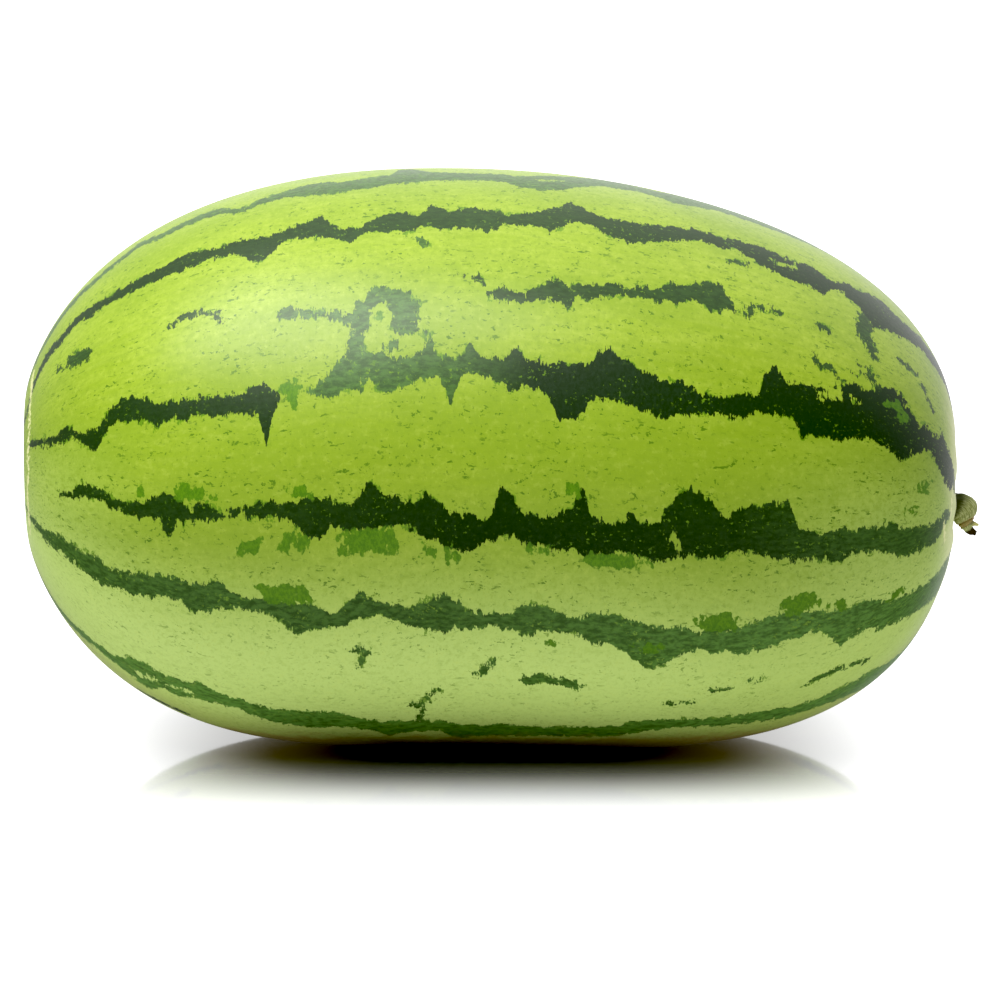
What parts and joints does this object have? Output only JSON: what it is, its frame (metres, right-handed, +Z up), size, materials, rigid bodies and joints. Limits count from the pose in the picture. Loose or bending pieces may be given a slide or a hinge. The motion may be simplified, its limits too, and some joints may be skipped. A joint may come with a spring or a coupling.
{
  "type": "watermelon",
  "caption": "Whole oblong watermelon with a smooth waxy rind, lying on its own small flat spot, with the dried, bent stub of its stem in a shallow hollow at one end.",
  "frame": {"origin": "under the middle of the whole thing, on the level surface that its flat spot rests on", "axes": "+X runs along the fruit from the blossom end to the stem end, +Z is up, and +Y is away from the side that the picture shows"},
  "size_m": [0.3672, 0.2226, 0.2208],
  "materials": {
    "rind": "waxy light green rind with dark green jagged stripes along it, satin to glossy",
    "stalk": "dried olive green stalk, ridged along its length, matt"
  },
  "bodies": {
    "root": {"fruit": "rind", "stem": "stalk"}
  },
  "joints": []
}
